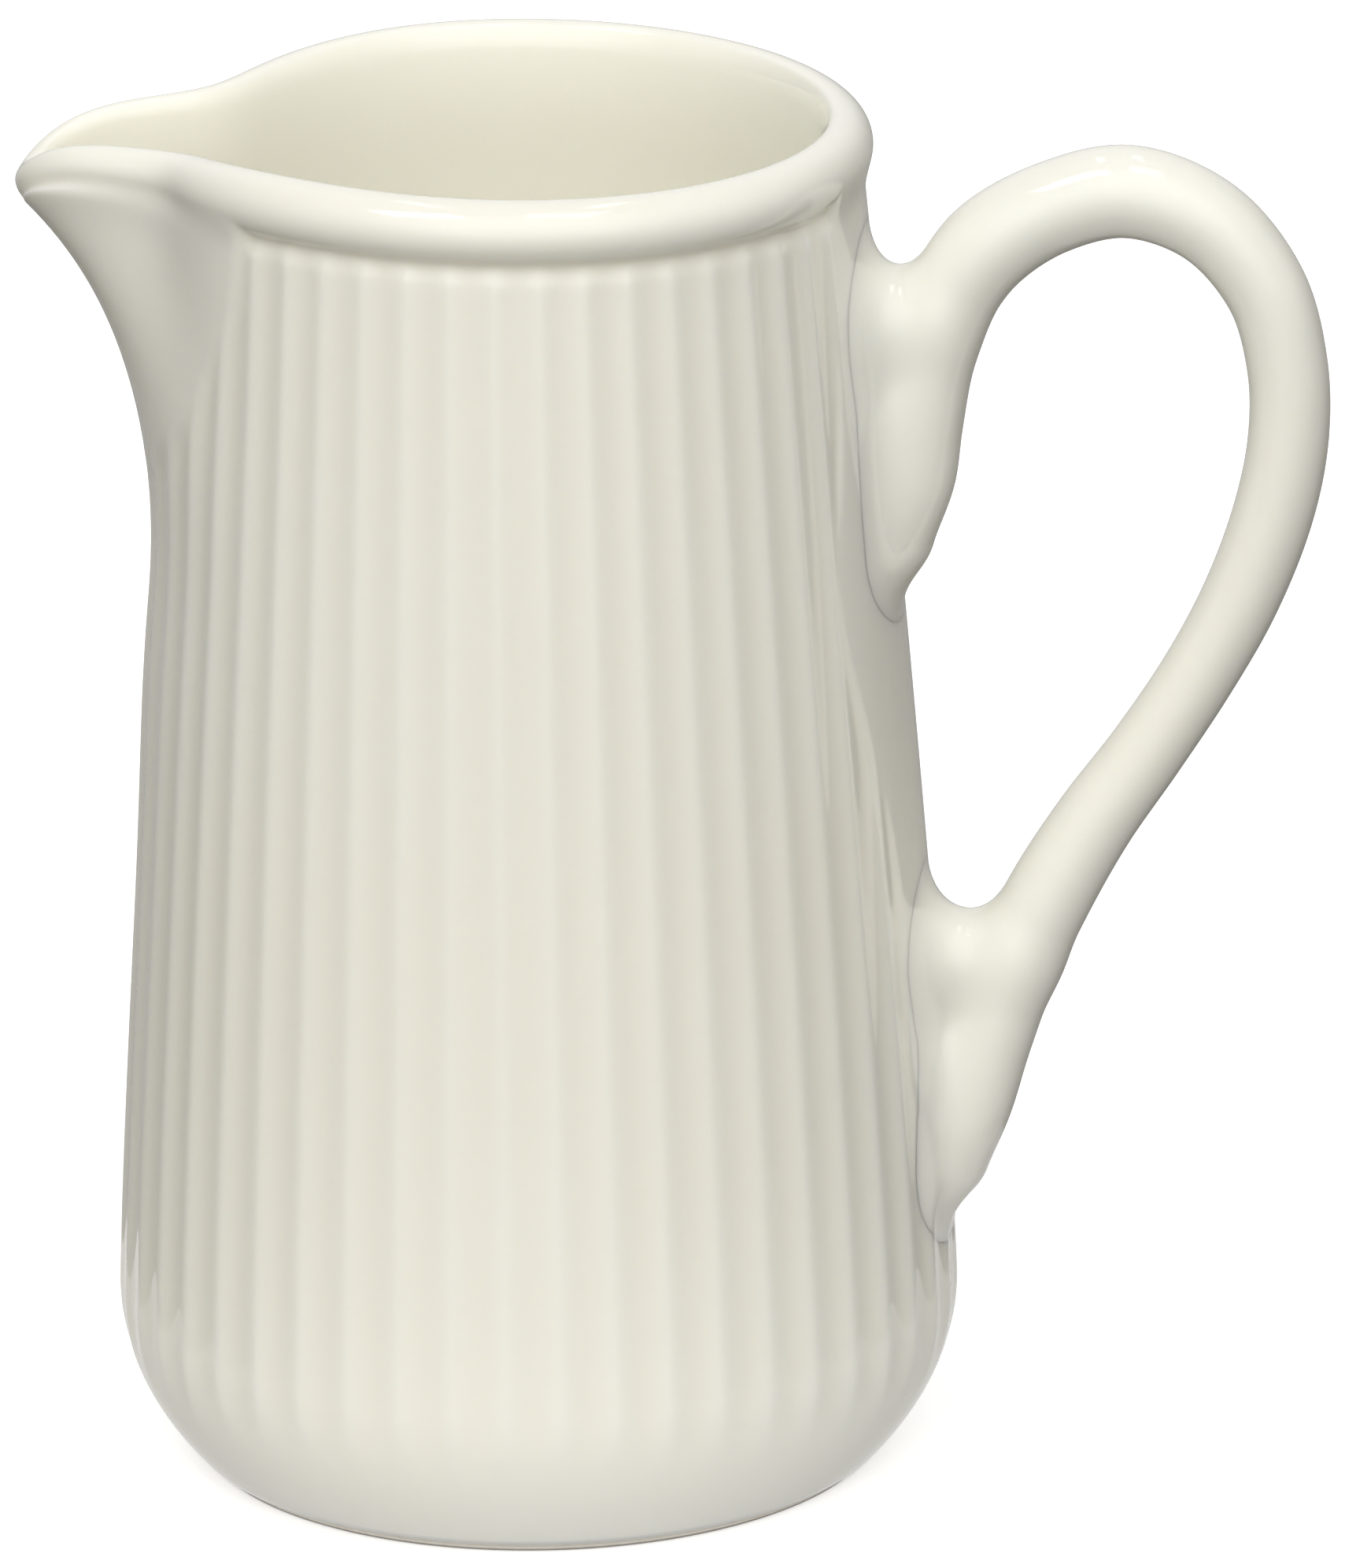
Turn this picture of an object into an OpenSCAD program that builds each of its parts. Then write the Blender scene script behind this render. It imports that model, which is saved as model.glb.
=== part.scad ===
// A glazed porcelain cream jug: a tapered, pleated body with a rolled rim, a pulled spout and an ear handle.
// Millimetres. The origin is the centre of the foot on the table, +Z is up.
// The handle is at +X and the spout at -X.

/* [Body] */
// Height from the table to the top of the rim, halfway between spout and handle
height = 120; // [112:1:126]
// Radius of the ridges where the body is widest
belly_r = 36.4; // [35:0.2:38]
// Height of the widest place
belly_z = 15.4; // [13:0.2:18]
// Radius of the foot where it stands
foot_r = 29.5; // [28:0.5:31]
// Radius of the ridges at the neck
neck_r = 29.6; // [29:0.1:30.2]
// Height of the neck
neck_z = 110; // [105:1:111]
// How late the wall leans in towards the neck, 1 is a straight cone
wall_bow = 1.18; // [1:0.02:1.4]
// How full the curve of the heel is
heel_fullness = 2.2; // [1.6:0.1:3]
// Thickness of the cast wall
wall_t = 3; // [2.4:0.1:3.4]
// Height of the floor inside
floor_z = 5; // [4.4:0.2:6]

/* [Pleats] */
// Number of pleats round the body
pleats = 48; // [36:4:56]
// Depth of each pleat
pleat_d = 0.35; // [0.2:0.05:0.8]
// Half the width of the plain strip behind the handle, in degrees
plain_strip = 18.75; // [18:0.25:26]

/* [Rim] */
// Radius of the circle along the middle of the rolled rim
rim_r = 27.2; // [26.8:0.1:27.6]
// Radius of the roll itself
roll_r = 2.85; // [2.4:0.05:3.2]
// Radius of the roll at the tip of the spout
lip_r = 1.6; // [1.4:0.1:2]
// Width of the roll's inner half, as a share of its outer half
inner_roll = 0.55; // [0.5:0.05:1]
// Fall of the rim from the spout to the handle, for each millimetre across
rim_tilt = 0.018; // [0:0.002:0.03]

/* [Spout] */
// Height at which the spout starts to leave the body
spout_z = 78; // [74:1:84]
// Reach of the narrow channel past the body
channel_reach = 11.6; // [9:0.2:13]
// Reach of the wide shoulder of the spout
shoulder_reach = 2; // [1:0.2:3]
// Angular spread of the channel at the rim
channel_spread = 9.9; // [8.3:0.4:11.5]
// Angular spread of the shoulder
shoulder_spread = 26; // [20:1:28]
// Drop of the rim along the whole spout
spout_dip = 2.95; // [2:0.05:3.6]
// Further drop at the tip of the spout
tip_dip = 3.45; // [2.4:0.05:4]

/* [Handle] */
// Radius of the handle where a finger hooks over it
grip_r = 3.95; // [3.4:0.05:4.2]
// Radius of the handle along its lower arm
arm_r = 3.3; // [3:0.05:3.6]
// Half the width of each handle joint where it stands proud
joint_w = 3.9; // [3.4:0.1:4.4]

/* [Hidden] */

glaze = "#e9e4d6";
bisque = "#d9cfba";

// Foot and floor
foot_t = 3.2;
foot_h = 1;
foot_round = 0.4;
recess_z = 1.9;
base_z = 8;
floor_round = 6;

// The pleats rise out of the heel over pleat_rise, and end within strip_fade degrees of the plain strip.
// Under the spout they end at the edge of a plain patch, which widens upwards to patch_half degrees.
pleat_rise = 8;
strip_fade = 3;
patch_half = 38;
patch_rise = 34;
patch_fade = 6;

// Height at which the spout has its full reach, and the share of it that comes late, close under the lip
spout_full_z = height - 9;
late_share = 0.25;
// The channel starts this broad below narrow_from, and narrows over narrow_rise
broad_spread = 21;
narrow_from = 86;
narrow_rise = 27;
// How blunt the spout's tip is, and how far the lip is thrown out past the wall
tip_blunt = 2.2;
lip_throw = 0.0065;
tip_spread = 4.5;

// Columns of points round the body, three to a pleat, with one on every ridge
columns = pleats * 3;
step = 360 / columns;
// Rows of points up the wall, as fractions of its height
rows = [0, 0.05, 0.12, 0.28, 0.45, 0.6, 0.7, 0.78, 0.85, 0.91, 0.96, 1];
top_row = len(rows) - 1;
// The spout takes the rows from here up, and the columns this near to the spout's own plane
spout_row = 6;
spout_half = 38;
roll_steps = 12;
// Share of the wall's height from which it runs into the roll
settle_from = 0.85;
roll_start = -45;
roll_turn = 270;
// The roll changes from its outer to its inner width over these degrees of its turn
inward_from = 65;
inward_over = 70;

// The handle's middle line, from the upper joint over the top and down to the lower joint, as [x, z]
grip_line = [
    [38.5, 107], [41.6, 110.2], [46, 112.8], [52.2, 114], [58.8, 111.6],
    [63.4, 106.2], [65.4, 99.5], [65.6, 92.5], [64.2, 85.5], [61.4, 78],
    [57.8, 71.2], [53.6, 64.2], [49.4, 57.4], [46.2, 52.4], [44.5, 49.1]
];
steps_per_span = 3;
ring_sides = 20;
// The handle thins from grip_r to arm_r over these spans of its middle line
thin_from = 3;
thin_over = 7;
// A joint's ring spends this many degrees of each half turn on the crest, as many on the flank, and the rest
// on the body
crest_turn = 60;

// Each joint's sections on the body:
// height on the body, crest x, crest z, share of the full width, foot half width
upper_sections = [
    [78.6, 32.7, 78.6, 0.35, 2.5], [80.6, 34.4, 80.6, 0.75, 4.8], [84, 36.4, 84, 0.97, 6.4],
    [89, 37.1, 89, 1, 7], [95, 38, 95, 1, 7.2], [100.4, 39.6, 100.2, 1, 7.2], [105.4, 41, 103.2, 1, 6.4]
];
lower_sections = [
    [21, 36.7, 21, 0.35, 2.5], [23.6, 38.2, 23.6, 0.75, 5.2], [27.2, 40.5, 27.2, 0.92, 7.4],
    [33, 42.2, 33, 0.92, 8.8], [39, 44, 38.8, 0.92, 9.3], [44, 45.7, 43.4, 0.92, 9.3],
    [48.4, 47, 46.2, 0.92, 8.4]
];

// ---------- the body's shape ----------

function smooth(x) = let (t = min(max(x, 0), 1)) t * t * (3 - 2 * t);
function bell(a, spread) = exp(-pow(a / spread, 2) / 2);
function mix(a, b, t) = a + (b - a) * t;

// Radius of the ridges at height z
function ridge_r(z) = z > belly_z
    ? belly_r - (belly_r - neck_r) * pow((z - belly_z) / (neck_z - belly_z), wall_bow)
    : foot_r + (belly_r - foot_r) * (1 - pow(1 - max(z, 0) / belly_z, heel_fullness));

// Angle of a column, its distance from the spout's plane, and from the handle's
function column_angle(i) = (i + 0.5) * step;
function from_spout(i) = abs(180 - column_angle(i));
function from_handle(i) = 180 - from_spout(i);

// How far the spout reaches outwards at this angle, and how much of that is left at height z
function spread_at(z) = mix(broad_spread, channel_spread, smooth((z - narrow_from) / narrow_rise));
function channel(a, z) = channel_reach * exp(-pow(a / spread_at(z), tip_blunt) / 2);
function spout_reach(a, z = height) = channel(a, z) + shoulder_reach * bell(a, shoulder_spread);
function spout_share(z) =
    let (u = max(z - spout_z, 0) / (spout_full_z - spout_z))
    mix(pow(u, 2), pow(u, 5), late_share);

// Centre and radius of the rim's roll at this angle from the spout
function roll_radius(a) = mix(roll_r, lip_r, bell(a, 2 * channel_spread));
function roll_r_at(a) = rim_r + spout_reach(a) * (1 + lip_throw * spout_reach(a));
function rim_top(a) =
    height + rim_tilt * roll_r_at(a) * cos(a)
    - spout_dip * bell(a, shoulder_spread)
    - tip_dip * bell(a, tip_spread);
function roll_z_at(a) = rim_top(a) - roll_radius(a);

// The pleats die out on the heel, on the spout and on the plain strip behind the handle
function pleat_share(i, z) =
    smooth((z - base_z) / pleat_rise)
    * smooth(1 + (from_handle(i) - plain_strip) / strip_fade)
    * smooth(1 + (from_spout(i) - patch_half * smooth((z - spout_z) / patch_rise)) / patch_fade);
function flute(i) = abs(cos(pleats / 2 * column_angle(i)));

// A row's height in a column: the top row meets the rim's roll
function row_z(i, j) =
    let (a = from_spout(i))
    mix(base_z, roll_z_at(a) + roll_radius(a) * sin(roll_start), rows[j]);
function plain_r(i, z) = ridge_r(z) + spout_reach(from_spout(i), z) * spout_share(z);
function outside_r(i, z) = plain_r(i, z) - pleat_d * pleat_share(i, z) * flute(i);
function inside_r(i, z) =
    let (lean = plain_r(i, z + 0.5) - plain_r(i, z - 0.5))
    plain_r(i, z) - wall_t * sqrt(1 + lean * lean);

function around(i, r, z) = [r * cos(column_angle(i)), r * sin(column_angle(i)), z];
// The roll is fuller outside than inside
function roll_side(turn) = cos(turn) * mix(1, inner_roll, smooth((turn - inward_from) / inward_over));
function roll_point(i, turn) =
    let (a = from_spout(i), roll = roll_radius(a))
    around(i, roll_r_at(a) + roll * roll_side(turn), roll_z_at(a) + roll * sin(turn));

// The wall runs into the roll over its last rows
function settle(j) = smooth((rows[j] - settle_from) / (1 - settle_from));
function outside_point(i, j) =
    let (z = row_z(i, j), a = from_spout(i), meet = roll_r_at(a) + roll_radius(a) * roll_side(roll_start))
    around(i, mix(outside_r(i, z), meet, settle(j)), z);
function inside_point(i, j) =
    let (z = row_z(i, j), a = from_spout(i), end = roll_start + roll_turn,
         meet = roll_r_at(a) + roll_radius(a) * roll_side(end))
    around(i, mix(inside_r(i, z), meet, settle(j)), z);

// ---------- solids from grids of points ----------

function in_spout(i, j) = from_spout(i) < spout_half && from_spout(i + 1) < spout_half && j >= spout_row;
function in_piece(i, j, spout) = j >= 0 && j < top_row && in_spout((i + columns) % columns, j) == spout;

// The block of wall whose cells are in the spout, or the block whose cells aren't
module wall_block(spout) {
    side = columns * (top_row + 1);
    function out_id(i, j) = ((i + columns) % columns) * (top_row + 1) + j;
    function in_id(i, j) = side + out_id(i, j);
    function quad(a, b, c, d) = [[a, b, c], [a, c, d]];
    points = concat(
        [for (i = [0 : columns - 1]) for (j = [0 : top_row]) outside_point(i, j)],
        [for (i = [0 : columns - 1]) for (j = [0 : top_row]) inside_point(i, j)]
    );
    cells = [for (i = [0 : columns - 1]) for (j = [0 : top_row - 1]) if (in_piece(i, j, spout)) [i, j]];
    faces = [
        for (c = cells)
            let (i = c[0], j = c[1], k = i + 1, m = j + 1)
            for (face = concat(
                quad(out_id(i, j), out_id(i, m), out_id(k, m), out_id(k, j)),
                quad(in_id(i, j), in_id(k, j), in_id(k, m), in_id(i, m)),
                in_piece(i, j - 1, spout) ? [] : quad(out_id(i, j), out_id(k, j), in_id(k, j), in_id(i, j)),
                in_piece(i, j + 1, spout) ? [] : quad(out_id(i, m), in_id(i, m), in_id(k, m), out_id(k, m)),
                in_piece(i - 1, j, spout) ? [] : quad(out_id(i, j), in_id(i, j), in_id(i, m), out_id(i, m)),
                in_piece(i + 1, j, spout) ? [] : quad(out_id(k, j), out_id(k, m), in_id(k, m), in_id(k, j))
            ))
                face
    ];
    polyhedron(points = points, faces = faces);
}

// A solid through a row of rings with the same number of points.
// A closed one joins its last ring to its first.
module loft(rings, closed = false) {
    n = len(rings);
    m = len(rings[0]);
    points = [for (ring = rings) for (p = ring) p];
    spans = closed ? n : n - 1;
    sides = [
        for (k = [0 : spans - 1]) for (s = [0 : m - 1])
            let (next = (k + 1) % n, a = k * m + s, b = k * m + (s + 1) % m,
                 c = next * m + (s + 1) % m, d = next * m + s)
            for (face = [[a, b, c], [a, c, d]]) face
    ];
    ends = closed ? [] : [[for (s = [m - 1 : -1 : 0]) s], [for (s = [0 : m - 1]) (n - 1) * m + s]];
    polyhedron(points = points, faces = concat(sides, ends));
}

// ---------- the handle's shape ----------

function point_on(line, k) = line[min(max(k, 0), len(line) - 1)];
// A smooth curve through the points of a line: position t runs from 0 to the number of spans
function curve_at(line, t) =
    let (k = min(floor(t), len(line) - 2), u = t - k,
         a = point_on(line, k - 1), b = line[k], c = line[k + 1], d = point_on(line, k + 2))
    0.5 * (2 * b + (c - a) * u + (2 * a - 5 * b + 4 * c - d) * u * u + (3 * b - a - 3 * c + d) * u * u * u);
function heading(line, t) =
    let (e = 0.01, last = len(line) - 1, d = curve_at(line, min(t + e, last)) - curve_at(line, max(t - e, 0)))
    d / norm(d);

grip_spans = len(grip_line) - 1;
function handle_r(t) = mix(grip_r, arm_r, smooth((t - thin_from) / thin_over));

// A round section of the handle.
// Its first point is inside the loop when facing is 1, and outside when it is -1.
function handle_ring(t, facing = 1) =
    let (c = curve_at(grip_line, t), h = heading(grip_line, t), r = handle_r(t))
    [for (s = [0 : ring_sides - 1])
        let (w = s * 360 / ring_sides, out = r * cos(w) * facing)
        [c[0] + out * h[1], r * sin(w), c[1] - out * h[0]]];

// A section of a joint, whose foot lies on the body and whose crest stands at [x, z]
function joint_ring(section) =
    let (foot_z = section[0], r = ridge_r(foot_z), crest = [section[1] - r, section[2] - foot_z],
         w = section[3] * joint_w, foot = section[4])
    [for (s = [0 : ring_sides - 1])
        let (turn = s * 360 / ring_sides, a = turn > 180 ? 360 - turn : turn, side = turn > 180 ? -1 : 1,
             u = a / crest_turn, v = u - 1,
             y = u <= 1 ? w * sin(90 * u) : u <= 2 ? mix(w, foot, v * v) : foot * (3 - u),
             rise = u <= 1 ? (1 + cos(90 * u)) / 2 : u <= 2 ? (1 - v) * (1 - v) / 2 : 0)
        [sqrt(r * r - y * y) + rise * crest[0], side * y, foot_z + rise * crest[1]]];

// ---------- the pieces ----------

module foot_ring() {
    color(bisque)
        rotate_extrude($fn = 180)
            polygon([
                [foot_r - foot_t, foot_h],
                [foot_r - foot_t, foot_round],
                [foot_r - foot_t + foot_round, 0],
                [foot_r - foot_round, 0],
                [foot_r, foot_round],
                [ridge_r(foot_h), foot_h]
            ]);
}

module base() {
    heel = [for (z = [foot_h : 1 : base_z]) [ridge_r(z), z]];
    well_r = ridge_r(base_z) - wall_t * sqrt(1 + pow(ridge_r(base_z + 0.5) - ridge_r(base_z - 0.5), 2));
    rise = base_z - floor_z;
    well = [for (w = [0 : 15 : 90]) [well_r - floor_round * (1 - cos(w)), floor_z + rise * (1 - sin(w))]];
    color(glaze)
        rotate_extrude($fn = 180)
            polygon(concat(
                [[0, recess_z], [foot_r - foot_t, recess_z], [foot_r - foot_t, foot_h]],
                heel,
                well,
                [[0, floor_z]]
            ));
}

module body_wall() {
    color(glaze)
        wall_block(false);
}

module pouring_spout() {
    color(glaze)
        wall_block(true);
}

module rim() {
    color(glaze)
        loft([
            for (i = [0 : columns - 1])
                [for (k = [0 : roll_steps]) roll_point(i, roll_start + roll_turn * k / roll_steps)]
        ], closed = true);
}

module handle() {
    color(glaze)
        loft([for (k = [0 : grip_spans * steps_per_span]) handle_ring(k / steps_per_span)]);
}

module upper_handle_joint() {
    color(glaze)
        loft(concat([for (section = upper_sections) joint_ring(section)], [handle_ring(0)]));
}

module lower_handle_joint() {
    color(glaze)
        loft(concat([for (section = lower_sections) joint_ring(section)], [handle_ring(grip_spans, -1)]));
}

foot_ring();
base();
body_wall();
pouring_spout();
rim();
handle();
upper_handle_joint();
lower_handle_joint();
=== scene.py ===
import bpy
import numpy as np
from mathutils import Matrix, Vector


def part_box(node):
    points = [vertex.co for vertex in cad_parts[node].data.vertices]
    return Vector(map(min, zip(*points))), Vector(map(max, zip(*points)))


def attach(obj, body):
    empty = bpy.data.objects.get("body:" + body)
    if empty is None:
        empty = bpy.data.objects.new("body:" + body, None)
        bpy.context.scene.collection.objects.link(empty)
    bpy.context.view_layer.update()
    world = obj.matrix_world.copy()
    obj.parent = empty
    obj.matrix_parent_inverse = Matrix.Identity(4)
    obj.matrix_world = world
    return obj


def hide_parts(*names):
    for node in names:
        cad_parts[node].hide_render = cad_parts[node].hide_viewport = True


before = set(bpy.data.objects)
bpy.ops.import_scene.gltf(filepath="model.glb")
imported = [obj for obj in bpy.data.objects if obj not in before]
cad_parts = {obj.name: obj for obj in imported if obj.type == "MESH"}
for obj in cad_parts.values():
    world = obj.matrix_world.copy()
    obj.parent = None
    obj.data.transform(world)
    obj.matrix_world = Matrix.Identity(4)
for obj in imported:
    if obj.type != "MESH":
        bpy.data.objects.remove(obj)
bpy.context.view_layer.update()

# The shapes below are worked out in millimetres on the model's own axes: +Z up, handle at +X, spout at -X,
# origin at the centre of the foot. FOOT and UNIT carry them into the frame, and RING_R is half the width of
# the CAD foot ring, which sets the scale.
foot_low, foot_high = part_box("foot_ring")
FOOT = np.array([(foot_low.x + foot_high.x) / 2, (foot_low.y + foot_high.y) / 2, foot_low.z])
HEIGHT = 120.0
RING_R = 30.446
UNIT = (foot_high.x - foot_low.x) / (2 * RING_R)

# The outline of the body: its widest place, its foot and its neck
BELLY_R, BELLY_Z = 36.4, 15.4
FOOT_R, NECK_R, NECK_Z = 29.5, 29.6, 110.0
WALL_BOW, HEEL_FULLNESS = 1.18, 2.2

# The wall, the foot ring and the recess inside it
WALL_T, SPOUT_WALL_T, SPOUT_WALL_SPREAD = 3.0, 2.5, 20.0
FLOOR_Z, FLOOR_ROUND, INNER_TOP = 5.0, 6.0, 105.0
FOOT_T, FOOT_H, FOOT_ROUND, RECESS_Z = 3.2, 1.0, 0.45, 1.9
HEEL_TOP, PLAIN_TOP = 17.0, 100.0

# The pleats: how many, how deep, how soft their ridges are, and where they rise out of the heel.
# Angles on the body are in degrees from the spout's plane.
PLEATS, PLEAT_D, RIDGE_SOFTNESS = 48, 0.22, 0.4
PLEAT_FROM, PLEAT_RISE = 7.5, 7.0
STRIP_FADE, PATCH_FADE = 2.6, 5.0
# the share of the darker pool colour in the middle of a flute: thicker glaze, and painted shade in the flute
FLUTE_POOL_AND_SHADE = 0.35

# The rolled rim: the circle along its middle, its radius, its radius at the tip of the spout, and how much
# narrower its inner half is
RIM_R, ROLL_R, LIP_R, LIP_SPREAD = 27.2, 2.85, 1.6, 18.0
INNER_ROLL, INWARD_FROM, INWARD_OVER = 0.52, 65.0, 70.0
ROLL_DEPTH, ROLL_FINISH = 1.48, 170.0
PLAIN_START, PLEATED_START = -12.0, -47.0
# The rim stands a little higher at the spout than at the handle
RIM_TILT = 0.018

# The spout: a channel that starts broad and narrows towards the lip, on a wider shoulder.
# The rim dips along it, and again at its tip.
SPOUT_Z, SPOUT_FULL_Z = 78.0, HEIGHT - 9.0
CHANNEL_REACH, SHOULDER_REACH, SHOULDER_SPREAD = 11.6, 2.0, 26.0
BROAD_SPREAD, CHANNEL_SPREAD, TIP_BLUNT = 21.0, 9.9, 2.2
NARROW_FROM, NARROW_OVER = 86.0, 27.0
LIP_THROW, SPOUT_DIP, TIP_DIP, TIP_SPREAD = 0.0065, 2.95, 3.45, 4.5

# Steps for slopes that are worked out by difference
TINY, SLOPE_STEP = 1e-4, 1e-3


def smooth(x):
    """0 below 0, 1 above 1, and an even rise between."""
    t = np.clip(x, 0.0, 1.0)
    return t * t * (3.0 - 2.0 * t)


def bell(a, spread):
    return np.exp(-((a / spread) ** 2) / 2.0)


def mix(a, b, t):
    return a + (b - a) * t


# ---------- the body's shape ----------


def ridge_r(z):
    """Radius of the ridges at height z."""
    rise = np.clip(z - BELLY_Z, 0.0, None) / (NECK_Z - BELLY_Z)
    upper = BELLY_R - (BELLY_R - NECK_R) * rise**WALL_BOW
    heel = 1.0 - np.clip(z, 0.0, BELLY_Z) / BELLY_Z
    lower = FOOT_R + (BELLY_R - FOOT_R) * (1.0 - heel**HEEL_FULLNESS)
    return np.where(z > BELLY_Z, upper, lower)


def from_spout(theta):
    """Degrees round from the spout's plane."""
    return np.degrees(np.abs((theta % (2 * np.pi)) - np.pi))


def spout_reach(a, z=HEIGHT):
    """How far the spout carries the wall outwards: broad low down, and narrowing to a channel at the lip."""
    spread = mix(BROAD_SPREAD, CHANNEL_SPREAD, smooth((z - NARROW_FROM) / NARROW_OVER))
    channel = np.exp(-((a / spread) ** TIP_BLUNT) / 2.0)
    return CHANNEL_REACH * channel + SHOULDER_REACH * bell(a, SHOULDER_SPREAD)


def spout_share(z):
    """How much of its reach the spout has at height z: an even start, a late sweep, a faint swell below."""
    u = np.clip(z - SPOUT_Z, 0.0, None) / (SPOUT_FULL_Z - SPOUT_Z)
    swell = np.exp(-(((z - 72.0) / 13.0) ** 2))
    return 0.73 * u**2 + 0.24 * u**5 + 0.03 * swell


def strip_half(z):
    """Half the width in degrees of the plain strip behind the handle, widest below the upper root."""
    widest = np.exp(-(((z - 79) / 15) ** 2))
    return 14.3 * smooth((z - 21) / 17) + 3.4 * smooth((z - 60) / 35) + 10.5 * widest


def spout_half(z):
    """Half the width in degrees of the patch with no pleats under the spout."""
    return 35.0 * smooth((z - 82) / 16) + 13.0 * smooth((z - 92) / 20)


def pleat_share(theta, z):
    """How much of their depth the pleats have here: they die out on the heel, the strip and the patch."""
    a = from_spout(theta)
    heel = smooth((z - PLEAT_FROM) / PLEAT_RISE)
    strip = smooth((180.0 - a - strip_half(z)) / STRIP_FADE + 0.5)
    spout = smooth((a - spout_half(z)) / PATCH_FADE + 1.0)
    return heel * strip * spout


def flute(theta):
    """0 on a ridge and 1 in the middle of a flute."""
    soft = RIDGE_SOFTNESS
    c = np.cos(PLEATS / 2 * theta)
    return (np.sqrt(c * c + soft * soft) - soft) / (np.sqrt(1.0 + soft * soft) - soft)


def plain_r(theta, z):
    """Radius of the outside with no pleats."""
    return ridge_r(z) + spout_reach(from_spout(theta), z) * spout_share(z)


def skin_r(theta, z):
    """Radius of the outside with its pleats."""
    return plain_r(theta, z) - PLEAT_D * flute(theta) * pleat_share(theta, z)


def roll_radius(a):
    return mix(ROLL_R, LIP_R, bell(a, LIP_SPREAD))


def roll_centre(theta):
    """The line along the middle of the rim's roll."""
    a = from_spout(theta)
    reach = spout_reach(a)
    r = RIM_R + reach * (1.0 + LIP_THROW * reach)
    tilt = RIM_TILT * r * np.cos(theta)
    top = HEIGHT - tilt - SPOUT_DIP * bell(a, SHOULDER_SPREAD) - TIP_DIP * bell(a, TIP_SPREAD)
    return np.stack([r * np.cos(theta), r * np.sin(theta), top - roll_radius(a)], -1)


def ring(theta, r, z):
    z = np.broadcast_to(z, theta.shape)
    return np.stack([r * np.cos(theta), r * np.sin(theta), z], -1)


def unit(v):
    return v / np.linalg.norm(v, axis=-1, keepdims=True)


def bezier(p0, d0, p1, d1, reach0, reach1, steps):
    """Rows between p0 and p1, leaving along d0 and arriving along d1. The ends themselves aren't repeated."""
    gap = np.linalg.norm(p1 - p0, axis=-1, keepdims=True)
    a, b = p0 + d0 * gap * reach0, p1 - d1 * gap * reach1
    rows = []
    for k in range(1, steps):
        t = k / steps
        rows.append((1 - t) ** 3 * p0 + 3 * t * (1 - t) ** 2 * a + 3 * t * t * (1 - t) * b + t**3 * p1)
    return rows


def pleat_columns():
    """Angles of the columns: close together on a ridge and further apart in a flute."""
    half = np.array([0.0, 0.28, 0.58, 0.92, 1.32, 1.8, 2.36, 3.0])
    offsets = np.concatenate([-half[:0:-1], half, [3.75]])
    pitch = 360.0 / PLEATS
    ridges = (np.arange(PLEATS) + 0.5) * pitch
    return np.radians((ridges[:, None] + offsets[None, :]).ravel())


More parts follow.
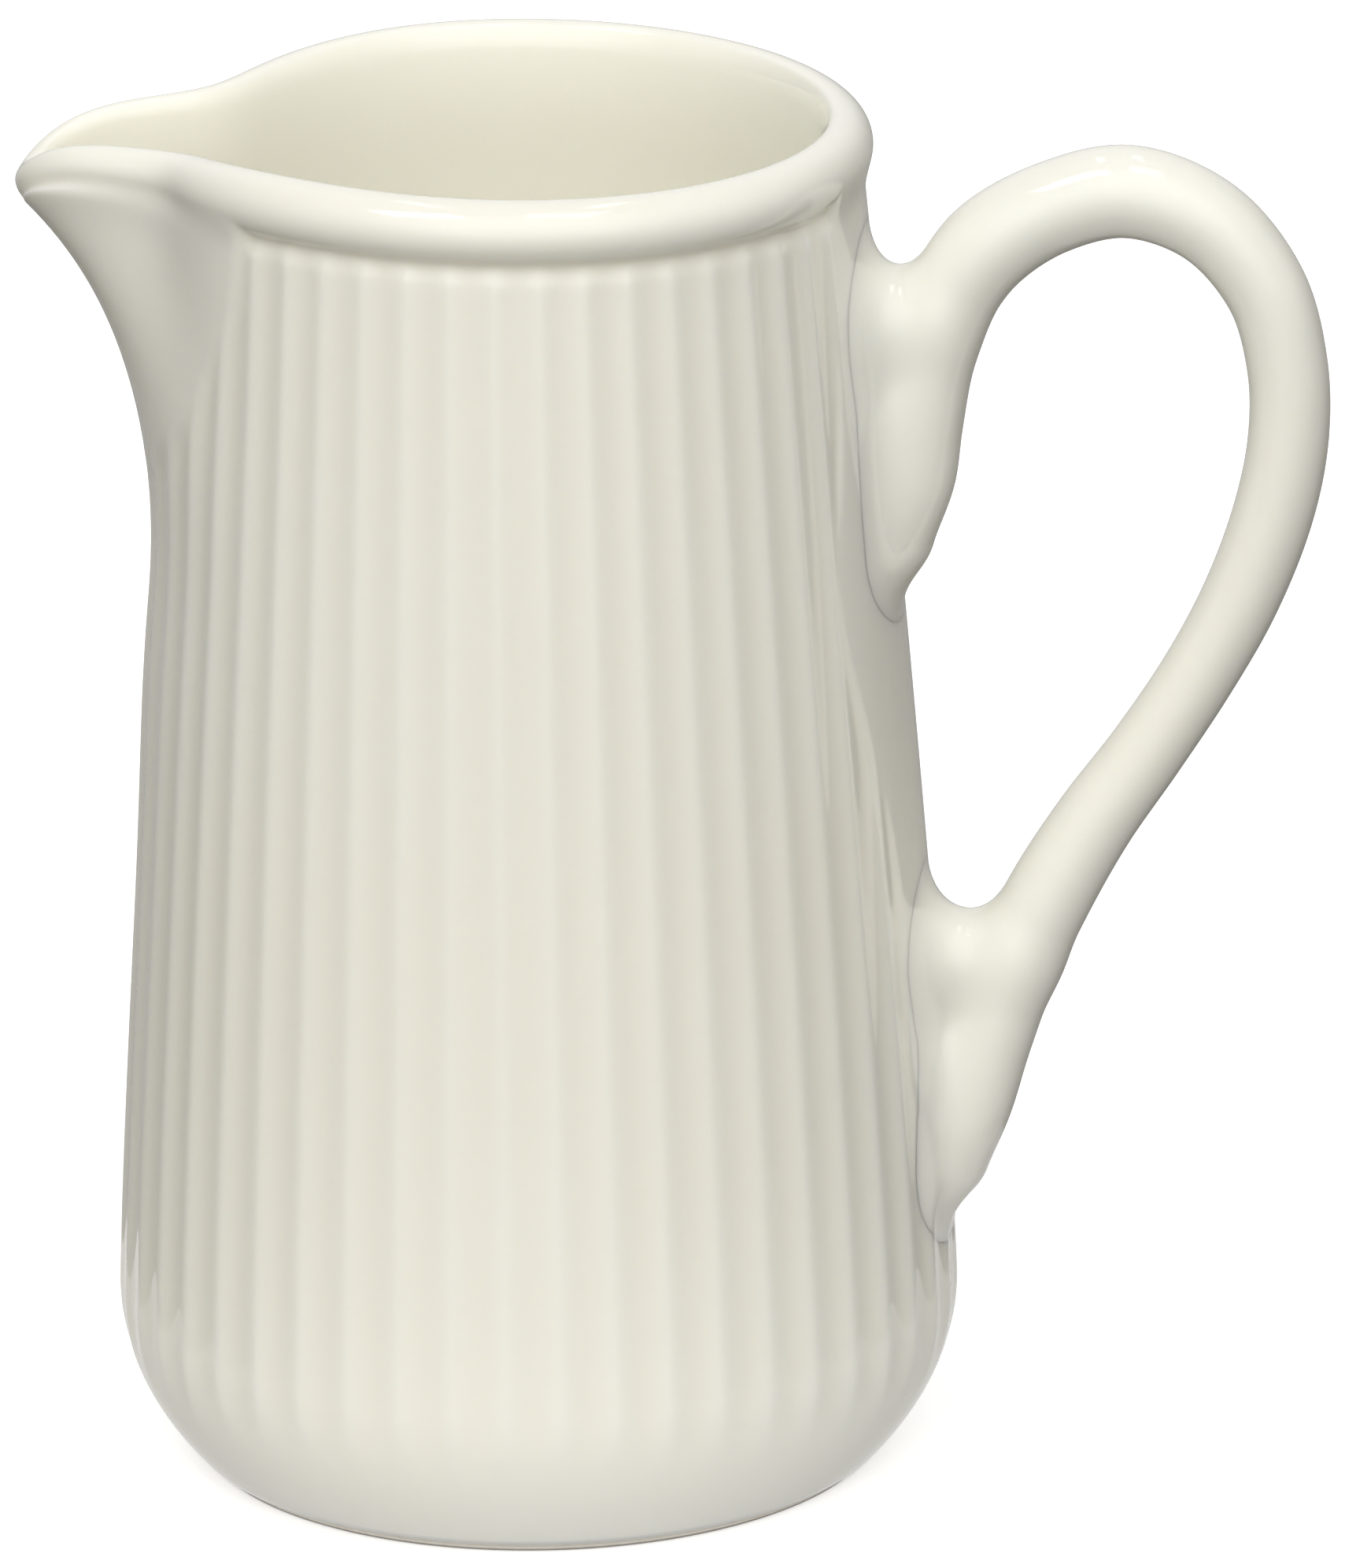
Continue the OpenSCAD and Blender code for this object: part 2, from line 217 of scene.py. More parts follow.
def body_rows(theta):
    """The jug's skin as rows of points: from the middle of the recess, out and up, over the rim and in."""
    rows, pool_and_shade_rows = [], []

    def add(points, pool_and_shade=0.0):
        """One more row, with how thick the glaze lies on it and how much painted shade it carries, from 0 to
        1.
        """
        rows.append(points)
        pool_and_shade_rows.append(np.broadcast_to(pool_and_shade, theta.shape))

    # the recess inside the foot, and the step on which the bare ring is set
    inner_foot = FOOT_R - FOOT_T
    for r in (6.0, 12.0, 18.0, 22.0, 24.6, 25.6):
        add(ring(theta, r, RECESS_Z))
    add(ring(theta, inner_foot - 0.2, RECESS_Z - 0.15))
    add(ring(theta, inner_foot, RECESS_Z - 0.45))
    add(ring(theta, inner_foot, FOOT_H))
    add(ring(theta, FOOT_R - 0.6, FOOT_H))

    # the outside, up to a line close under the roll
    centre = roll_centre(theta)
    a = from_spout(theta)
    rho = roll_radius(a)
    top_z = centre[:, 2] - ROLL_DEPTH * rho
    heights = [np.full(theta.shape, z) for z in np.linspace(FOOT_H, HEEL_TOP, 30)]
    heights += [np.full(theta.shape, z) for z in np.linspace(HEEL_TOP, PLAIN_TOP, 58)[1:]]
    heights += [mix(PLAIN_TOP, top_z, t) for t in np.linspace(0.0, 1.0, 15)[1:]]
    for z in heights:
        add(ring(theta, skin_r(theta, z), z), FLUTE_POOL_AND_SHADE * flute(theta) * pleat_share(theta, z))

    # the roll, square to the rim's own line, and fuller outside than inside
    along = unit(roll_centre(theta + TINY) - roll_centre(theta - TINY))
    out = unit(np.stack([along[:, 1], -along[:, 0], np.zeros_like(a)], -1))
    up = unit(np.cross(out, along))
    up = up * np.sign(up[:, 2:3])
    rho = rho[:, None]

    def roll(angle):
        inward = mix(1.0, INNER_ROLL, smooth((np.degrees(angle) - INWARD_FROM) / INWARD_OVER))
        return centre + rho * (np.cos(angle) * inward * out + np.sin(angle) * up)

    def roll_heading(angle):
        return unit(roll(angle + TINY) - roll(angle - TINY))

    share = pleat_share(theta, top_z)
    start = np.radians(mix(PLAIN_START, PLEATED_START, share))[:, None]
    below = ring(theta, skin_r(theta, top_z - 0.6), top_z - 0.6)
    wall_heading = unit(rows[-1] - below)
    cove = bezier(rows[-1], wall_heading, roll(start), roll_heading(start), 0.36, 0.36, 9)
    # the cove takes the darker pool colour in full, fading out up the roll's underside: thicker glaze, and
    # painted shade under the roll
    for k, points in enumerate(cove):
        depth = smooth((k + 1) / 8.0)
        add(points, share * mix(FLUTE_POOL_AND_SHADE * flute(theta), 1.0, depth))
    finish_angle = np.full_like(start, np.radians(ROLL_FINISH))
    for t in np.linspace(0.0, 1.0, 34):
        angle = mix(start, finish_angle, t)
        add(roll(angle), share * np.clip(1.0 - t * 7.0, 0.0, 1.0))

    # the inside
    def inner_r(z):
        e = SLOPE_STEP
        r = plain_r(theta, z)
        slope_z = (plain_r(theta, z + e) - r) / e
        slope_a = (plain_r(theta + e, z) - plain_r(theta - e, z)) / (2 * e) / r
        t = mix(WALL_T, SPOUT_WALL_T, bell(a, SPOUT_WALL_SPREAD))
        return r - t * np.sqrt(1.0 + slope_z**2 + slope_a**2)

    wall = ring(theta, inner_r(INNER_TOP), INNER_TOP)
    next_wall = ring(theta, inner_r(INNER_TOP - 1.0), INNER_TOP - 1.0)
    last = roll(finish_angle)
    for points in bezier(last, roll_heading(finish_angle), wall, unit(next_wall - wall), 0.34, 0.34, 12):
        add(points)
    bottom = FLOOR_Z + FLOOR_ROUND
    for z in np.concatenate([np.linspace(INNER_TOP, 80.0, 16), np.linspace(80.0, bottom, 24)[1:]]):
        add(ring(theta, inner_r(z), z))
    well = ridge_r(bottom) - WALL_T * 1.02
    for w in np.radians(np.linspace(0.0, 90.0, 10)[1:]):
        add(ring(theta, well - FLOOR_ROUND * (1 - np.cos(w)), bottom - FLOOR_ROUND * np.sin(w)))
    for r in (26.0, 22.0, 16.0, 10.0, 5.0):
        add(ring(theta, r, FLOOR_Z))
    return rows, pool_and_shade_rows


def make_object(name, points, faces, pool_and_shade=None, normals=None):
    """A smooth mesh object from points in millimetres and blocks of faces, each with one corner count."""
    mesh = bpy.data.meshes.new(name)
    mesh.vertices.add(len(points))
    mesh.vertices.foreach_set("co", (points * UNIT + FOOT).astype(np.float32).ravel())
    corners = np.concatenate([block.ravel() for block in faces])
    totals = np.concatenate([np.full(len(block), block.shape[1]) for block in faces])
    starts = np.cumsum(totals) - totals
    mesh.loops.add(len(corners))
    mesh.loops.foreach_set("vertex_index", corners.astype(np.int32))
    mesh.polygons.add(len(totals))
    mesh.polygons.foreach_set("loop_start", starts.astype(np.int32))
    mesh.polygons.foreach_set("loop_total", totals.astype(np.int32))
    mesh.polygons.foreach_set("use_smooth", np.ones(len(totals), bool))
    mesh.update(calc_edges=True)
    mesh.validate()
    # the share of the darker pool colour at each point: thicker glaze, and painted shade in the flutes and
    # under the roll
    if pool_and_shade is not None:
        layer = mesh.attributes.new("pool_and_shade", "FLOAT", "POINT")
        layer.data.foreach_set("value", pool_and_shade.astype(np.float32))
    if normals is not None:
        mesh.normals_split_custom_set_from_vertices(normals.tolist())
    obj = bpy.data.objects.new(name, mesh)
    bpy.context.scene.collection.objects.link(obj)
    return obj


def lathe_faces(row_count, columns, first_centre, last_centre):
    """Quads between rows, and a fan at each end round a centre point."""
    r = np.arange(row_count - 1)[:, None] * columns
    c = np.arange(columns)[None, :]
    n = (c + 1) % columns
    quads = np.stack([r + c, r + n, r + columns + n, r + columns + c], -1).reshape(-1, 4)
    c, n = c.ravel(), n.ravel()
    top = (row_count - 1) * columns
    fans = np.concatenate([
        np.stack([np.full(columns, first_centre), n, c], -1),
        np.stack([np.full(columns, last_centre), top + c, top + n], -1),
    ])
    return [quads, fans]


theta = pleat_columns()
rows, pool_and_shade_rows = body_rows(theta)
count = len(rows) * len(theta)
points = np.concatenate(rows + [np.array([[0, 0, RECESS_Z], [0, 0, FLOOR_Z]])])
pool_and_shade = np.concatenate(pool_and_shade_rows + [np.zeros(2)])
jug_body = make_object("jug_body", points, lathe_faces(len(rows), len(theta), count, count + 1), pool_and_shade)

# ---------- the unglazed foot ----------


def foot_rows(theta):
    """The bare ring as rows of points, from its inner top edge, down, under the flat face and up outside."""
    inner, outer, round_r = FOOT_R - FOOT_T, FOOT_R, FOOT_ROUND
    top_r = float(ridge_r(np.array(FOOT_H)))
    rows = [ring(theta, inner, FOOT_H), ring(theta, inner, round_r)]
    for w in np.radians(np.linspace(0, 90, 6)[1:]):
        rows.append(ring(theta, inner + round_r * (1 - np.cos(w)), round_r * (1 - np.sin(w))))
    rows.append(ring(theta, (inner + outer) / 2, 0.0))
    for w in np.radians(np.linspace(0, 90, 6)):
        rows.append(ring(theta, outer - round_r * (1 - np.sin(w)), round_r * (1 - np.cos(w))))
    for t in (0.35, 0.7, 0.93):
        rows.append(ring(theta, mix(outer, top_r - 0.05, t), mix(round_r, FOOT_H, t)))
    rows.append(ring(theta, top_r - 0.16, FOOT_H))
    return rows


foot_theta = np.radians(np.arange(0, 360, 1.0))
rows = foot_rows(foot_theta)
columns = len(foot_theta)
r = np.arange(len(rows))[:, None] * columns
r_next = np.roll(r, -1, axis=0)
c = np.arange(columns)[None, :]
n = (c + 1) % columns
quads = np.stack([r + c, r_next + c, r_next + n, r + n], -1).reshape(-1, 4)[:, ::-1]
foot_wiped = make_object("foot_wiped", np.concatenate(rows), [quads])

# ---------- the handle and its two joints ----------

# The middle line of the handle from the tip of the upper joint, over the top, to the tip of the lower joint:
# x, z, half the thickness there, and how much wider than thick it is
HANDLE_LINE = np.array([
    [32.0, 83.4, 3.1, 1.20],
    [33.4, 88.0, 3.6, 1.18],
    [34.0, 93.0, 3.75, 1.16],
    [34.9, 98.5, 3.85, 1.12],
    [36.6, 103.8, 3.9, 1.08],
    [40.0, 108.9, 4.1, 1.05],
    [45.6, 112.5, 3.95, 1.04],
    [52.2, 114.05, 3.95, 1.04],
    [58.9, 111.6, 3.75, 1.05],
    [63.6, 106.0, 3.55, 1.06],
    [65.5, 99.3, 3.45, 1.07],
    [65.6, 92.5, 3.45, 1.08],
    [64.2, 85.5, 3.45, 1.08],
    [61.4, 78.0, 3.35, 1.08],
    [57.7, 71.0, 3.25, 1.08],
    [53.3, 64.1, 3.3, 1.08],
    [48.85, 57.7, 3.5, 1.08],
    [45.0, 51.1, 3.75, 1.10],
    [41.8, 44.2, 3.8, 1.12],
    [39.7, 37.6, 3.6, 1.16],
    [38.2, 31.6, 3.3, 1.22],
    [36.4, 27.2, 3.1, 1.25],
])
# How softly the handle runs into the body, how deep its root lies in the wall, and how far the thin edge of
# the fillet is sunk below the body's skin
FILLET, ROOT_DEPTH, SUNK = 5.4, 2.8, 0.03


def spline(line, per_span):
    """A smooth curve through the rows of a table."""
    ends = np.concatenate([[2 * line[0] - line[1]], line, [2 * line[-1] - line[-2]]])
    out = []
    for k in range(len(line) - 1):
        a, b, c, d = ends[k : k + 4]
        for s in range(per_span):
            u = s / per_span
            bend, twist = 2 * a - 5 * b + 4 * c - d, 3 * b - a - 3 * c + d
            out.append(0.5 * (2 * b + (c - a) * u + bend * u * u + twist * u**3))
    out.append(line[-1])
    return np.array(out)


ROD = spline(HANDLE_LINE, 10)
# A short web fills the angle between the handle and the wall at each root, given by its two ends as x and z.
# WEB_R is its radius, and WEB_BLEND says how softly it runs into the handle.
WEBS = (((29.0, 102.0), (34.8, 102.5)), ((31.0, 45.3), (41.4, 45.5)))
WEB_R, WEB_BLEND = 3.4, 3.0


def rod_in_plane(x, z):
    """For points of the handle's plane: distance to the middle line, and the rod's radius and width there."""
    a, b = ROD[:-1], ROD[1:]
    step = b[:, :2] - a[:, :2]
    long = (step**2).sum(1)
    best = np.full(x.shape, 1e9)
    radius, width = np.zeros(x.shape), np.ones(x.shape)
    for k in range(len(a)):
        dx, dz = x - a[k, 0], z - a[k, 1]
        t = np.clip((dx * step[k, 0] + dz * step[k, 1]) / long[k], 0, 1)
        d = np.hypot(dx - t * step[k, 0], dz - t * step[k, 1])
        near = d < best
        best = np.where(near, d, best)
        radius = np.where(near, mix(a[k, 2], b[k, 2], t), radius)
        width = np.where(near, mix(a[k, 3], b[k, 3], t), width)
    return best, radius, width


def soft_union(a, b, reach):
    """The nearer of two surfaces, rounded where they come within reach of each other."""
    h = np.clip(reach - np.abs(a - b), 0, None) / reach
    return np.minimum(a, b) - h * h * reach / 4


def web_distance(x, y, z, web):
    """How far a point lies outside a web."""
    start, step = web[0], np.subtract(web[1], web[0])
    dx, dz = x - start[0], z - start[1]
    t = np.clip((dx * step[0] + dz * step[1]) / (step @ step), 0, 1)
    return np.sqrt((dx - t * step[0]) ** 2 + (dz - t * step[1]) ** 2 + y * y) - WEB_R


def handle_field(x, y, z, rod):
    """Below zero inside the handle: rod and body run together in a fillet, cut off inside the wall."""
    d, radius, width = rod
    rod_d = np.hypot(d, y / width) - radius
    for web in WEBS:
        rod_d = soft_union(rod_d, web_distance(x, y, z, web), WEB_BLEND)
    body_d = np.hypot(x, y) - skin_r(np.arctan2(y, x), z) + SUNK
    joined = soft_union(rod_d, body_d, FILLET)
    return np.maximum(np.maximum(joined, -(body_d + ROOT_DEPTH)), rod_d - FILLET)


def field_at(p):
    """The handle's field at a list of points."""
    return handle_field(p[:, 0], p[:, 1], p[:, 2], rod_in_plane(p[:, 0], p[:, 2]))


def surface_net(low, high, pitch):
    """The zero surface of the handle's field as quads, one point for each cell that it passes through."""
    axes = [np.arange(low[k], high[k] + pitch, pitch) for k in range(3)]
    gx, gz = np.meshgrid(axes[0], axes[2], indexing="ij")
    rod = [v[:, None, :] for v in rod_in_plane(gx, gz)]
    x, y, z = (axes[0][:, None, None], axes[1][None, :, None], axes[2][None, None, :])
    f = handle_field(x + 0 * y + 0 * z, y + 0 * x + 0 * z, z + 0 * x + 0 * y, rod)
    inside = f < 0
    shape = np.array(f.shape) - 1
    total = np.zeros((*shape, 3))
    hits = np.zeros(shape)
    corners = [np.array([i, j, k]) for i in (0, 1) for j in (0, 1) for k in (0, 1)]

    def cut(v, corner):
        """The grid's values at one corner of every cell."""
        return v[tuple(slice(corner[k], corner[k] + shape[k]) for k in range(3))]

    for a in corners:
        for axis in range(3):
            if a[axis]:
                continue
            b = a.copy()
            b[axis] = 1
            fa, fb = cut(f, a), cut(f, b)
            crossing = cut(inside, a) != cut(inside, b)
            t = np.where(crossing, fa / np.where(crossing, fa - fb, 1.0), 0.0)
            for k in range(3):
                total[..., k] += np.where(crossing, a[k] + (t if k == axis else 0.0), 0.0)
            hits += crossing
    used = hits > 0
    index = np.full(shape, -1)
    index[used] = np.arange(used.sum())
    cell = np.argwhere(used)
    points = np.array(low) + pitch * (cell + total[used] / hits[used][:, None])
    quads = []
    for axis in range(3):
        u, v = (axis + 1) % 3, (axis + 2) % 3
        a = [slice(1, -1)] * 3
        b = [slice(1, -1)] * 3
        a[axis], b[axis] = slice(0, -1), slice(1, None)
        ia, ib = inside[tuple(a)], inside[tuple(b)]
        cells = np.argwhere(ia != ib)
        solid = ia[ia != ib]
        base = cells + np.array([0 if k == axis else 1 for k in range(3)])
        corner = []
        for du, dv in ((0, 0), (1, 0), (1, 1), (0, 1)):
            c = base.copy()
            c[:, u] -= du
            c[:, v] -= dv
            corner.append(index[c[:, 0], c[:, 1], c[:, 2]])
        quad = np.stack(corner, -1)
        quads.append(quad[solid])
        quads.append(quad[~solid][:, ::-1])
    return points, np.concatenate(quads)


def gradient(p, e=0.02):
    """Slope of the handle's field at a list of points, by differences over e."""
    g = np.zeros_like(p)
    for k in range(3):
        step = np.zeros(3)
        step[k] = e
        g[:, k] = (field_at(p + step) - field_at(p - step)) / (2 * e)
    return g


# The net is drawn over a box round the handle at NET_PITCH, and its points are then pulled onto the surface
NET_LOW, NET_HIGH, NET_PITCH, MOST_PULL = (25.6, -12.4, 14.0), (71.0, 12.4, 120.0), 0.4, 0.25
points, quads = surface_net(NET_LOW, NET_HIGH, NET_PITCH)
for _ in range(2):
    g = gradient(points)
    pull = field_at(points) / np.maximum((g * g).sum(1), 0.3)
    points = points - g * np.clip(pull, -MOST_PULL, MOST_PULL)[:, None]
handle = make_object("jug_handle", points, [quads], np.zeros(len(points)), unit(gradient(points)))

# ---------- materials ----------


class Nodes:
    """Small helper for building one node tree."""

    def __init__(self, name):
        self.material = bpy.data.materials.new(name)
        self.material.use_nodes = True
        self.tree = self.material.node_tree
        self.shader = self.tree.nodes["Principled BSDF"]

    def add(self, kind, values=None, **settings):
        """A new node, with the values of its inputs and its own settings."""
        node = self.tree.nodes.new(kind)
        for key, value in settings.items():
            setattr(node, key, value)
        for key, value in (values or {}).items():
            node.inputs[key].default_value = value
        return node

    def link(self, out, into):
        self.tree.links.new(out, into)

    def ramp(self, source, stops):
        """A colour ramp on a value, from pairs of place and colour."""
        node = self.add("ShaderNodeValToRGB")
        ramp = node.color_ramp
        while len(ramp.elements) < len(stops):
            ramp.elements.new(0.5)
        for element, (at, colour) in zip(ramp.elements, stops):
            element.position = at
            element.color = (*colour, 1.0)
        self.link(source, node.inputs["Fac"])
        return node.outputs["Color"]

    def blend(self, kind, factor, a, b):
        """Two colours mixed; each argument is a value or another node's output."""
        node = self.add("ShaderNodeMix", data_type="RGBA", blend_type=kind)
        for value, socket in ((factor, node.inputs[0]), (a, node.inputs[6]), (b, node.inputs[7])):
            if isinstance(value, bpy.types.NodeSocket):
                self.link(value, socket)
            else:
                socket.default_value = value
        return node.outputs[2]


def grey(v):
    return (v, v, v)


def glaze_material():
    """White porcelain under a clear, slightly warm glaze."""
    n = Nodes("glazed_porcelain")
    n.shader.inputs["Roughness"].default_value = 0.02
    n.shader.inputs["IOR"].default_value = 1.5
    n.shader.inputs["Subsurface Weight"].default_value = 1.0
    n.shader.inputs["Subsurface Radius"].default_value = (1.0, 0.96, 0.9)
    n.shader.inputs["Subsurface Scale"].default_value = 0.0012
    where = n.add("ShaderNodeTexCoord").outputs["Object"]

    # the clay shows a little warmer and cooler in broad patches
    broad = n.add("ShaderNodeTexNoise", {"Scale": 24.0, "Detail": 3.0, "Roughness": 0.45})
    n.link(where, broad.inputs["Vector"])
    colour = n.ramp(broad.outputs["Fac"], [(0.3, (0.91, 0.888, 0.795)), (0.7, (0.932, 0.911, 0.826))])

    # glaze lies thicker in the flutes and under the rim, and is a shade greener there; this darker colour is
    # also painted shade in the flutes and in the cove under the roll
    pool_and_shade = n.add("ShaderNodeAttribute", attribute_name="pool_and_shade").outputs["Fac"]
    colour = n.blend("MIX", pool_and_shade, colour, (0.897, 0.87, 0.76, 1.0))

    # pinholes and iron specks
    spots = n.add("ShaderNodeTexVoronoi", {"Scale": 260.0, "Randomness": 1.0})
    n.link(where, spots.inputs["Vector"])
    dot = n.ramp(spots.outputs["Distance"], [(0.035, grey(1.0)), (0.06, grey(0.0))])
    rare = n.ramp(spots.outputs["Color"], [(0.89, grey(0.0)), (0.9, grey(1.0))])
    speck = n.blend("MULTIPLY", 1.0, dot, rare)
    colour = n.blend("MIX", speck, colour, (0.33, 0.27, 0.2, 1.0))
    n.link(colour, n.shader.inputs["Base Color"])

    # the faint waviness of a fired glaze
    wave = n.add("ShaderNodeTexNoise", {"Scale": 210.0, "Detail": 2.0, "Roughness": 0.5})
    n.link(where, wave.inputs["Vector"])
    bump = n.add("ShaderNodeBump", {"Strength": 0.10, "Distance": 0.0002})
    n.link(wave.outputs["Fac"], bump.inputs["Height"])
    n.link(bump.outputs["Normal"], n.shader.inputs["Normal"])
    return n.material


def bisque_material():
    """The bare, fine-grained clay of the foot."""
    n = Nodes("bare_porcelain")
    n.shader.inputs["Roughness"].default_value = 0.62
    where = n.add("ShaderNodeTexCoord").outputs["Object"]
    grain = n.add("ShaderNodeTexNoise", {"Scale": 900.0, "Detail": 4.0, "Roughness": 0.6})
    n.link(where, grain.inputs["Vector"])
    colour = n.ramp(grain.outputs["Fac"], [(0.3, (0.70, 0.65, 0.55)), (0.7, (0.80, 0.76, 0.68))])
    n.link(colour, n.shader.inputs["Base Color"])
    bump = n.add("ShaderNodeBump", {"Strength": 0.35, "Distance": 0.0001})
    n.link(grain.outputs["Fac"], bump.inputs["Height"])
    n.link(bump.outputs["Normal"], n.shader.inputs["Normal"])
    return n.material


def floor_material():
    """A pale floor with a little light of its own, so that it stays nearly white."""
    n = Nodes("pale_floor")
    n.shader.inputs["Roughness"].default_value = 0.7
    n.shader.inputs["Specular IOR Level"].default_value = 0.2
    where = n.add("ShaderNodeTexCoord").outputs["Object"]
    grain = n.add("ShaderNodeTexNoise", {"Scale": 6.0, "Detail": 2.0})
    n.link(where, grain.inputs["Vector"])
    colour = n.ramp(grain.outputs["Fac"], [(0.3, grey(0.91)), (0.7, grey(0.93))])
    n.shader.inputs["Emission Color"].default_value = (1.0, 1.0, 1.0, 1.0)
    n.shader.inputs["Emission Strength"].default_value = 0.46
    n.link(colour, n.shader.inputs["Base Color"])
    return n.material


glaze = glaze_material()
bisque = bisque_material()
jug_body.data.materials.append(glaze)
handle.data.materials.append(glaze)
foot_wiped.data.materials.append(bisque)
for name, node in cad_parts.items():
    for slot_index in range(len(node.material_slots)):
        node.material_slots[slot_index].material = bisque if name == "foot_ring" else glaze

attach(jug_body, "root")
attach(handle, "root")
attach(foot_wiped, "root")
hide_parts("base", "body_wall", "pouring_spout", "rim")
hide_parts("handle", "upper_handle_joint", "lower_handle_joint")
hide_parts("foot_ring")

# ---------- floor, light and camera ----------


def make_floor():
    """A flat floor that curves up into a low wall behind the jug."""
    half, rise, radius = 2.6, 1.2, 0.6
    profile = [(-half, 0.0)]
    for w in np.radians(np.arange(0, 91, 6)):
        profile.append((half - radius + radius * np.sin(w), radius - radius * np.cos(w)))
    profile.append((half, rise))
    verts, faces = [], []
    for y, z in profile:
        verts += [(-half, y, z), (half, y, z)]
    for k in range(len(profile) - 1):
        faces.append((2 * k, 2 * k + 1, 2 * k + 3, 2 * k + 2))
    mesh = bpy.data.meshes.new("studio_floor")
    mesh.from_pydata(verts, [], faces)
    mesh.polygons.foreach_set("use_smooth", np.ones(len(faces), bool))
    obj = bpy.data.objects.new("studio_floor", mesh)
    bpy.context.scene.collection.objects.link(obj)
    obj.location = (0.0, 0.0, foot_low.z)
    obj.visible_diffuse = False
    obj.visible_glossy = False
    mesh.materials.append(floor_material())


make_floor()

# The camera looks from 8.5 degrees round towards the handle from straight in front, VIEW_FAR metres away.
# TURN, NOD and LEAN are small turns that set the jug in the picture.
VIEW_ROUND, VIEW_UP = np.radians(8.5), np.radians(18.488)
VIEW_FAR = 1.5
SENSOR, FOCAL_RATIO = 36.0, 22131.2 / 1709.0
TURN, NOD, LEAN = np.radians(0.4657), np.radians(-0.0279), np.radians(-0.961)
front = np.array([np.sin(VIEW_ROUND), -np.cos(VIEW_ROUND), 0.0])
side = np.array([np.cos(VIEW_ROUND), np.sin(VIEW_ROUND), 0.0])
up = np.array([0.0, 0.0, 1.0])
target = FOOT + np.array([0.0, 0.0, HEIGHT / 2 * UNIT])
eye = target + VIEW_FAR * (np.cos(VIEW_UP) * front + np.sin(VIEW_UP) * up)


def turned(a, b, angle):
    """a and b turned together by an angle in their own plane."""
    return a * np.cos(angle) + b * np.sin(angle), b * np.cos(angle) - a * np.sin(angle)


def placed(x_axis, y_axis, z_axis, at):
    """A world matrix from three axes and a place."""
    columns = np.stack([x_axis, y_axis, z_axis, at], 1)
    return Matrix([*columns.tolist(), [0.0, 0.0, 0.0, 1.0]])


ahead = -np.cos(VIEW_UP) * front - np.sin(VIEW_UP) * up
over = np.cross(side, ahead)
ahead, over = turned(ahead, over, NOD)
ahead, across = turned(ahead, side, TURN)
across, over = turned(across, over, LEAN)
camera = bpy.data.cameras.new("camera")
camera.sensor_fit = "HORIZONTAL"
camera.sensor_width = SENSOR
camera.lens = SENSOR * FOCAL_RATIO
camera.clip_start, camera.clip_end = 0.05, 20.0
camera_object = bpy.data.objects.new("camera", camera)
bpy.context.scene.collection.objects.link(camera_object)
camera_object.matrix_world = placed(across, over, -ahead, eye)
bpy.context.scene.camera = camera_object


def area_light(name, right, toward, height, width, length, power, colour=(1.0, 1.0, 1.0)):
    """A soft light by its place to the camera's right, towards the camera and above the origin, in metres.
    It shines at the middle of the jug."""
    light = bpy.data.lights.new(name, "AREA")
    light.shape = "RECTANGLE"
    light.size, light.size_y = width, length
    light.energy = power
    light.color = colour
    obj = bpy.data.objects.new(name, light)
    bpy.context.scene.collection.objects.link(obj)
    place = side * right + front * toward + up * height
    z_axis = unit(place - up * LIT_HEIGHT)
    y_axis = unit(front - z_axis * (front @ z_axis))
    obj.matrix_world = placed(np.cross(y_axis, z_axis), y_axis, z_axis, place)


LIT_HEIGHT = 0.06
area_light("key_left", -0.36, 0.30, 0.92, 0.36, 0.26, 1.25)
area_light("key_right", 0.15, 0.20, 0.98, 0.24, 0.30, 0.6)
area_light("key_back", -0.16, -0.34, 0.95, 0.05, 0.30, 0.12)
area_light("key_back_right", 0.16, -0.34, 0.95, 0.05, 0.30, 0.12)
# Light that has bounced about inside the jug, more than the render's own bounces bring
area_light("inner_glow", 0.0, 0.0, 0.068, 0.036, 0.036, 0.012, (0.93, 0.97, 1.0))


def table_bounce():
    """Light thrown up on the heel by the white table close round the foot."""
    light = bpy.data.lights.new("table_bounce", "AREA")
    light.shape = "DISK"
    light.size = 0.15
    light.energy = 0.024
    obj = bpy.data.objects.new("table_bounce", light)
    bpy.context.scene.collection.objects.link(obj)
    obj.location = tuple(FOOT + np.array([0.0, 0.0, 0.0003]))
    obj.rotation_euler = (np.pi, 0.0, 0.0)
    obj.visible_camera = False


table_bounce()

world = bpy.data.worlds.new("studio")
bpy.context.scene.world = world
world.use_nodes = True
tree = world.node_tree
background = tree.nodes["Background"]
direction = tree.nodes.new("ShaderNodeTexCoord").outputs["Generated"]


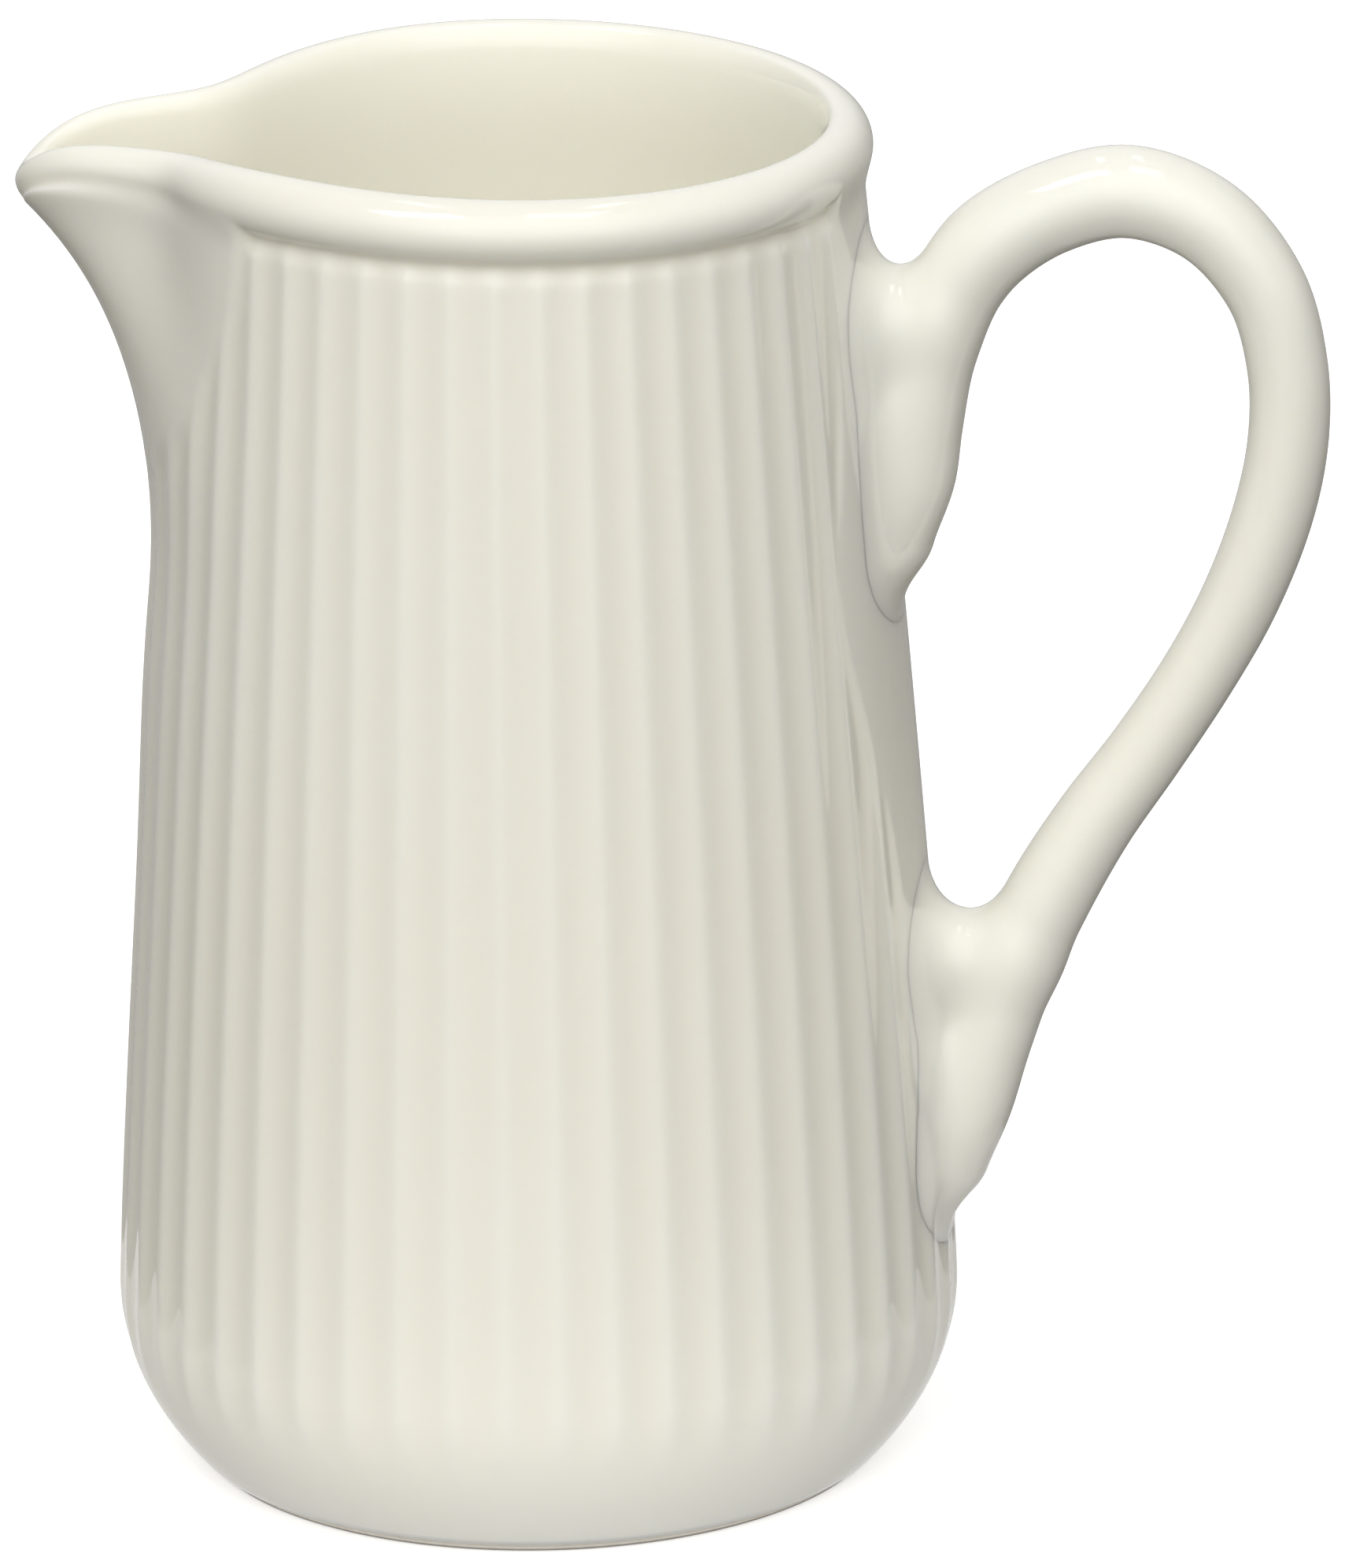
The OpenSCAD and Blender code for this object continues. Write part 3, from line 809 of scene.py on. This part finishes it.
def world_lobe(toward, start, full, strength):
    """Brightness that rises from nothing to its full strength as a direction comes round to the given one."""
    dot = tree.nodes.new("ShaderNodeVectorMath")
    dot.operation = "DOT_PRODUCT"
    dot.inputs[1].default_value = tuple(unit(toward))
    tree.links.new(direction, dot.inputs[0])
    levels = tree.nodes.new("ShaderNodeMapRange")
    levels.interpolation_type = "SMOOTHSTEP"
    for socket, value in (("From Min", start), ("From Max", full), ("To Min", 0.0), ("To Max", strength)):
        levels.inputs[socket].default_value = value
    tree.links.new(dot.outputs["Value"], levels.inputs["Value"])
    return levels.outputs["Result"]


def direction_at(azimuth, elevation):
    """A direction by degrees to the right of the camera and above the horizon, as seen from the jug."""
    a, e = np.radians(azimuth), np.radians(elevation)
    return np.cos(e) * (np.cos(a) * front + np.sin(a) * side) + np.sin(e) * up


# The room's light is a sum of lobes: azimuth and elevation, the cosine at which each starts, and its strength
AMBIENT = 0.03
total = None
for azimuth, elevation, start, strength in (
    (0, 34, 0.6, 1.4),
    (0, 5, 0.55, 0.32),
    (-45, 5, 0.55, 0.30),
    (-60, 35, 0.6, 0.26),
    (55, 35, 0.6, 0.52),
    (120, 45, 0.6, 0.12),
    (180, 45, 0.6, 0.48),
    (180, 5, 0.55, 0.36),
    (-150, 20, 0.6, 0.2),
):
    lobe = world_lobe(direction_at(azimuth, elevation), start, 1.0, strength)
    join = tree.nodes.new("ShaderNodeMath")
    join.operation = "ADD"
    join.inputs[1].default_value = AMBIENT
    if total is not None:
        tree.links.new(total, join.inputs[1])
    tree.links.new(lobe, join.inputs[0])
    total = join.outputs["Value"]
tree.links.new(total, background.inputs["Strength"])
# the darker parts of the room are a little warmer
tint = tree.nodes.new("ShaderNodeValToRGB")
tint.color_ramp.elements[0].color = (1.0, 0.93, 0.80, 1.0)
tint.color_ramp.elements[1].position = 0.5
tint.color_ramp.elements[1].color = (1.0, 1.0, 1.0, 1.0)
tree.links.new(total, tint.inputs["Fac"])
tree.links.new(tint.outputs["Color"], background.inputs["Color"])

bpy.context.scene.view_settings.view_transform = "Standard"
bpy.context.scene.view_settings.look = "None"
